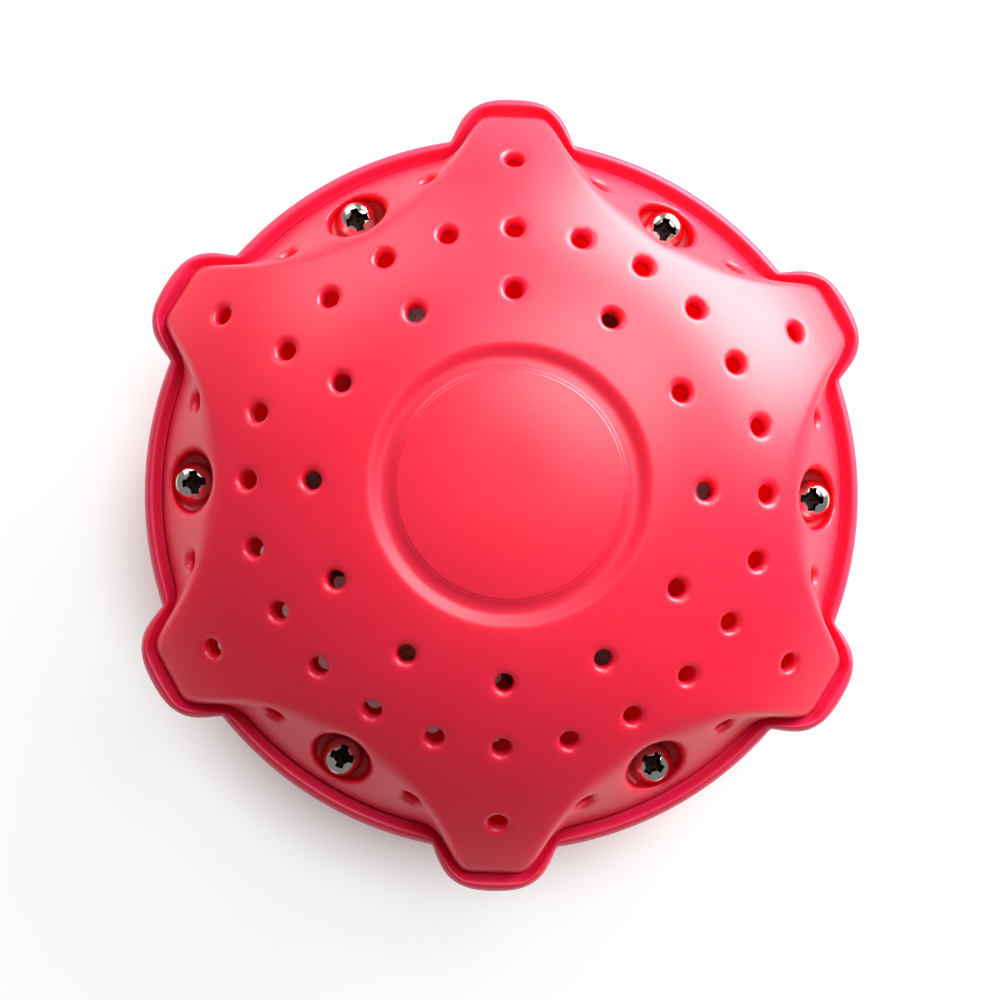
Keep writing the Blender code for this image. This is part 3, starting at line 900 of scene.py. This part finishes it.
def recess_core():
    """The round middle of the recess, which gives the cross its hollow inner corners."""
    top = HEAD_HEIGHT + CORE_HEIGHT
    profile = [(0, top), (CORE_RADIUS, top), (CORE_RADIUS, HEAD_HEIGHT - CORE_WALL)]
    profile.append((0, HEAD_HEIGHT - RECESS_DEPTH - CORE_TIP))
    core = turned("core", profile, CORE_STEPS)
    # The core's faces paint the recess's shade with dark steel.
    core.data.materials.append(painted_shade_recess)
    return core


def roll_thread(screw):
    """Press the shank's points in between the threads."""
    for vertex in screw.data.vertices:
        depth, radius = -vertex.co.z, vertex.co.xy.length
        if depth < THREAD_START or radius < 2 * EDGE_BREAK:
            continue
        turn = math.atan2(vertex.co.y, vertex.co.x) / (2 * math.pi)
        along = (depth / THREAD_PITCH + turn) % 1
        tooth = smooth_step(1 - abs(along - 0.5) / THREAD_WIDTH)
        run_out = smooth_step((depth - THREAD_START) / THREAD_PITCH)
        pressed = THREAD_DEPTH * (1 - tooth) * run_out * min(radius / (SHANK_DIAMETER / 2), 1)
        vertex.co.xy *= (radius - pressed) / radius


def make_screw_pattern():
    screw = turned("screw", screw_profile(), SCREW_STEPS)
    screw.data.materials.append(bright_nickel)
    cut_away(screw, recess_bar(0), recess_bar(math.pi / 2), recess_core(), material_mode="TRANSFER")
    bevel = screw.modifiers.new("worn edges", "BEVEL")
    bevel.width = EDGE_BREAK
    bevel.segments = EDGE_SEGMENTS
    bevel.limit_method = "ANGLE"
    bevel.angle_limit = SCREW_SHARP_ANGLE
    apply_modifiers(screw)
    roll_thread(screw)
    bpy.ops.object.shade_smooth_by_angle(angle=SCREW_SHARP_ANGLE)
    return screw


# %% Six screws in their pockets
RECESS_ANGLES = (-3, -8, 20, 8, -15, -30)


def make_screws():
    pattern = make_screw_pattern()
    screws = []
    for index, degrees in enumerate(RECESS_ANGLES):
        seat = screw_place(index, HEAD_SEAT).translation
        screw = bpy.data.objects.new("screw", pattern.data.copy())
        bpy.context.scene.collection.objects.link(screw)
        screw.matrix_world = Matrix.Translation(seat) @ Matrix.Rotation(math.radians(degrees), 4, "Z")
        settle(screw, f"pan_head_screw_{index + 1}")
        screws.append(screw)
    bpy.data.objects.remove(pattern, do_unlink=True)
    print("a screw has", len(screws[0].data.polygons), "faces")
    return screws


screws = make_screws()

# %% [markdown]
# ## The ceramic beads
#
# The beads are pressed from clay and fired, so they are never quite round: a faint belt marks where the
# two halves of the press met, and each bead lies turned its own way. A fine sphere is flattened a
# little at its poles, given the belt, and copied to every bead of the frame.

# %% Pressed beads
BELT_WIDTH = 0.7 * MM
BELT_HEIGHT = 0.06 * MM
POLE_SHARE = 0.97
BEAD_DIVISIONS = 4
SPIN_STEP = 1.9
TIP_STEP = 0.7


def make_bead_pattern(radius):
    bpy.ops.object.select_all(action="DESELECT")
    bpy.ops.mesh.primitive_ico_sphere_add(subdivisions=BEAD_DIVISIONS, radius=radius - BELT_HEIGHT)
    bead = bpy.context.object
    for vertex in bead.data.vertices:
        belt = smooth_step(1 - abs(vertex.co.z) / BELT_WIDTH)
        vertex.co *= 1 + belt * BELT_HEIGHT / radius
    bpy.ops.object.mode_set(mode="EDIT")
    bpy.ops.mesh.select_all(action="SELECT")
    bpy.ops.transform.resize(value=(1, 1, POLE_SHARE))
    bpy.ops.object.mode_set(mode="OBJECT")
    bpy.ops.object.shade_smooth()
    return bead


def make_beads():
    nodes = sorted(name for name in frame["nodes"] if name.startswith("bead_"))
    low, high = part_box(nodes[0])
    pattern = make_bead_pattern((high.y - low.y) / 2)
    beads = {}
    for index, node in enumerate(nodes):
        low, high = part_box(node)
        turn = Matrix.Rotation(SPIN_STEP * index, 4, "Z") @ Matrix.Rotation(TIP_STEP * index, 4, "X")
        bead = bpy.data.objects.new("bead", pattern.data.copy())
        bpy.context.scene.collection.objects.link(bead)
        bead.matrix_world = Matrix.Translation((low + high) / 2) @ turn
        settle(bead, "pressed_" + node)
        beads[node] = bead
    bpy.data.objects.remove(pattern, do_unlink=True)
    print(len(beads), "beads")
    return beads


beads = make_beads()

# %% [markdown]
# ## Plastics and clay
#
# The shells are injection-moulded polypropylene, dyed through: satin, a little waxy, with the fine
# spark-eroded grain of its mould. Red light travels a long way in it and blue and green hardly at all,
# so a 2 mm wall glows when it is lit from outside, and the holes look into a red inside, not a black
# one. Subsurface scattering with a long red radius does this. The ring is a softer and pinker
# elastomer, and the beads are fired clay. Colour, roughness and bump come from a few nodes in Object
# coordinates, scaled from real millimetres.

# %% Moulded polypropylene
CLOUD_SIZE = 14 * MM
GLOSS_CHANGE = 0.04
LIGHT_DEPTH = 12 * MM
RED_GREEN_BLUE_DEPTHS = (1.0, 0.06, 0.12)


def moulded_red(name, deep, light, roughness, grain_size, grain_depth, depth_share):
    """A dyed plastic that light enters: two close reds in soft clouds, and a mould's fine grain."""
    material, tree, shader, place = start_material(name)
    clouds = add_node(tree, "ShaderNodeTexNoise", {"Scale": per_size(CLOUD_SIZE), "Detail": 3.0},
                      {"Vector": place})
    mix = add_node(tree, "ShaderNodeMix", {"data_type": "RGBA"}, {"Factor": clouds.outputs["Fac"]})
    mix.inputs["A"].default_value = srgb(deep)
    mix.inputs["B"].default_value = srgb(light)
    tree.links.new(mix.outputs["Result"], shader.inputs["Base Color"])
    grain = add_node(tree, "ShaderNodeTexNoise", {"Scale": per_size(grain_size), "Detail": 4.0},
                     {"Vector": place})
    limits = {"To Min": roughness - GLOSS_CHANGE, "To Max": roughness + GLOSS_CHANGE}
    polish = add_node(tree, "ShaderNodeMapRange", limits, {"Value": clouds.outputs["Fac"]})
    tree.links.new(polish.outputs["Result"], shader.inputs["Roughness"])
    bump = add_node(tree, "ShaderNodeBump", {"Strength": 0.35, "Distance": grain_depth},
                    {"Height": grain.outputs["Fac"]})
    tree.links.new(bump.outputs["Normal"], shader.inputs["Normal"])
    shader.inputs["IOR"].default_value = 1.49
    shader.inputs["Specular IOR Level"].default_value = 0.65
    shader.inputs["Subsurface Weight"].default_value = depth_share
    shader.inputs["Subsurface Radius"].default_value = RED_GREEN_BLUE_DEPTHS
    shader.inputs["Subsurface Scale"].default_value = LIGHT_DEPTH
    return material


moulded_shell = moulded_red("moulded_polypropylene", "F40E30", "FC143C", roughness=0.36,
                            grain_size=0.30 * MM, grain_depth=0.02 * MM, depth_share=0.6)
soft_rubber = moulded_red("soft_elastomer", "CC0C3A", "D8124A", roughness=0.46,
                          grain_size=0.22 * MM, grain_depth=0.03 * MM, depth_share=0.3)


# %% Fired clay
SPECK_SIZE = 0.7 * MM
SPECKS_END = 0.36
BODY_START = 0.46
PIT_DEPTH = 0.04 * MM


def fired_clay(name, body, speck, roughness):
    """A bead's clay: a plain body with fine mineral specks and a dry, slightly pitted skin."""
    material, tree, shader, place = start_material(name)
    specks = add_node(tree, "ShaderNodeTexNoise", {"Scale": per_size(SPECK_SIZE), "Detail": 6.0},
                      {"Vector": place})
    ramp = add_node(tree, "ShaderNodeValToRGB", {}, {"Fac": specks.outputs["Fac"]})
    ramp.color_ramp.elements[0].position = SPECKS_END
    ramp.color_ramp.elements[0].color = srgb(speck)
    ramp.color_ramp.elements[1].position = BODY_START
    ramp.color_ramp.elements[1].color = srgb(body)
    tree.links.new(ramp.outputs["Color"], shader.inputs["Base Color"])
    shader.inputs["Roughness"].default_value = roughness
    pits = add_node(tree, "ShaderNodeBump", {"Strength": 0.4, "Distance": PIT_DEPTH},
                    {"Height": specks.outputs["Fac"]})
    tree.links.new(pits.outputs["Normal"], shader.inputs["Normal"])
    return material


CLAYS = {
    "white_ceramic": fired_clay("white_clay", "ECE9E1", "CFC8BA", roughness=0.45),
    "grey_ceramic": fired_clay("grey_clay", "8F8B86", "6B6762", roughness=0.55),
    "tan_ceramic": fired_clay("tan_clay", "BFA184", "94745A", roughness=0.55),
}

# %% [markdown]
# ## Dressing the frame
#
# Each piece now gets its material, rides on its body of the frame and stands for the plain piece there.

# %% Ride, replace and paint
def dress(obj, body, node, material=None):
    if material:
        obj.data.materials.clear()
        obj.data.materials.append(material)
    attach(obj, body)
    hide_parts(node)


dress(upper_dome, "upper_half", "upper_shell", moulded_shell)
dress(lower_dome, "lower_half", "lower_shell", moulded_shell)
dress(soft_bumper, "lower_half", "bumper_ring", soft_rubber)
for index, screw in enumerate(screws):
    dress(screw, f"screw_{index + 1}", f"screw_{index + 1}")
slots = {part["node"]: part["material_slot"] for part in frame["record"]["subparts"]}
for node, bead in beads.items():
    dress(bead, "bead_charge", node, CLAYS[slots[node]])

# %% [markdown]
# ## Floor, light and camera
#
# The ball lies on a pale floor that the camera sees as white. Three soft boxes stand like windows to the
# upper right: a high one lights the disc, a broad low one draws the satin highlight over the nearest
# arm, and one further round lights the left side. A weak white sky fills the shadows. The camera looks
# almost straight down: it stands 350 mm from the ball's middle, tilted and rolled by a few degrees.

# %% Floor
FLOOR_SIDE = 3.0
FLOOR_GLOW = 0.8
MIRRORED_SHARE = 0.35
SHADE_RADIUS = 42 * MM
GLOW_RADIUS = 58 * MM


def floor_material():
    """Pale floor: it glows near white to the camera, less so to mirrors, and not under the ball."""
    material, tree, shader, place = start_material("pale_floor")
    shader.inputs["Base Color"].default_value = srgb("F4F4F4")
    shader.inputs["Roughness"].default_value = 0.9
    rays = add_node(tree, "ShaderNodeLightPath")
    mirrored = add_node(tree, "ShaderNodeMath", {"operation": "MULTIPLY"})
    tree.links.new(rays.outputs["Is Glossy Ray"], mirrored.inputs[0])
    mirrored.inputs[1].default_value = MIRRORED_SHARE
    seen = add_node(tree, "ShaderNodeMath", {"operation": "MAXIMUM"})
    tree.links.new(rays.outputs["Is Camera Ray"], seen.inputs[0])
    tree.links.new(mirrored.outputs[0], seen.inputs[1])
    seen_too = add_node(tree, "ShaderNodeMath", {"operation": "MAXIMUM"})
    tree.links.new(seen.outputs[0], seen_too.inputs[0])
    tree.links.new(rays.outputs["Is Transmission Ray"], seen_too.inputs[1])
    away = add_node(tree, "ShaderNodeVectorMath", {"operation": "LENGTH"})
    tree.links.new(place, away.inputs[0])
    glow = add_node(tree, "ShaderNodeMapRange", {"interpolation_type": "SMOOTHSTEP",
                    "From Min": SHADE_RADIUS, "From Max": GLOW_RADIUS, "To Max": FLOOR_GLOW},
                    {"Value": away.outputs["Value"]})
    part_white = add_node(tree, "ShaderNodeMath", {"operation": "MULTIPLY"})
    tree.links.new(seen_too.outputs[0], part_white.inputs[0])
    tree.links.new(glow.outputs["Result"], part_white.inputs[1])
    white = add_node(tree, "ShaderNodeEmission", {"Strength": 1.0})
    both = add_node(tree, "ShaderNodeMixShader", {}, {"Fac": part_white.outputs[0]})
    tree.links.new(shader.outputs[0], both.inputs[1])
    tree.links.new(white.outputs[0], both.inputs[2])
    tree.links.new(both.outputs[0], tree.nodes["Material Output"].inputs["Surface"])
    return material


bpy.ops.object.select_all(action="DESELECT")
bpy.ops.mesh.primitive_plane_add(size=FLOOR_SIDE, location=(0, 0, -HALF_HEIGHT))
floor = bpy.context.object
floor.name = "floor"
floor.data.materials.append(floor_material())

# %% Light
SKY_STRENGTH = 0.26


def add_lamp(name, azimuth, elevation, width, height, power):
    """A soft box a metre away that faces the ball."""
    lamp = bpy.data.lights.new(name, "AREA")
    lamp.shape = "RECTANGLE"
    lamp.size = width
    lamp.size_y = height
    lamp.energy = power
    holder = bpy.data.objects.new(name, lamp)
    turn, rise = math.radians(azimuth), math.radians(elevation)
    place = Vector((math.cos(rise) * math.cos(turn), math.cos(rise) * math.sin(turn), math.sin(rise)))
    holder.location = place
    holder.rotation_euler = (-place).to_track_quat("-Z", "Y").to_euler()
    bpy.context.scene.collection.objects.link(holder)


add_lamp("window", azimuth=54, elevation=62, width=0.4, height=0.4, power=4.5)
add_lamp("low_window", azimuth=48, elevation=19, width=0.95, height=0.6, power=31)
add_lamp("side_window", azimuth=120, elevation=30, width=0.6, height=0.6, power=3.5)
world = bpy.data.worlds.new("soft_sky")
world.use_nodes = True
sky = world.node_tree.nodes["Background"]
sky.inputs["Color"].default_value = srgb("FFFFFF")
sky.inputs["Strength"].default_value = SKY_STRENGTH
bpy.context.scene.world = world
bpy.context.scene.view_settings.view_transform = "Standard"

# %% Camera
DISTANCE = 0.350
TILT = math.radians(3.93)
HEADING = math.radians(229.9)
ROLL = math.radians(1.44)
PIXELS = 1000
PIXELS_PER_METRE = 7600
CENTRE_PIXEL = (503.1, 492.7)
SENSOR = 36.0
NEAREST = 0.01

toward = Vector((math.sin(TILT) * math.cos(HEADING), math.sin(TILT) * math.sin(HEADING), math.cos(TILT)))
level_up = (Vector((0, 1, 0)) - toward.y * toward).normalized()
level_right = level_up.cross(toward)
right = math.cos(ROLL) * level_right + math.sin(ROLL) * level_up
up = toward.cross(right)
camera_data = bpy.data.cameras.new("camera")
camera_data.sensor_width = SENSOR
camera_data.lens = SENSOR * DISTANCE * PIXELS_PER_METRE / PIXELS
camera_data.shift_x = (PIXELS / 2 - CENTRE_PIXEL[0]) / PIXELS
camera_data.shift_y = (CENTRE_PIXEL[1] - PIXELS / 2) / PIXELS
camera_data.clip_start = NEAREST
camera = bpy.data.objects.new("camera", camera_data)
bpy.context.scene.collection.objects.link(camera)
turned_to_ball = Matrix((right, up, toward)).transposed().to_4x4()
camera.matrix_world = Matrix.Translation(DISTANCE * toward) @ turned_to_ball
bpy.context.scene.camera = camera
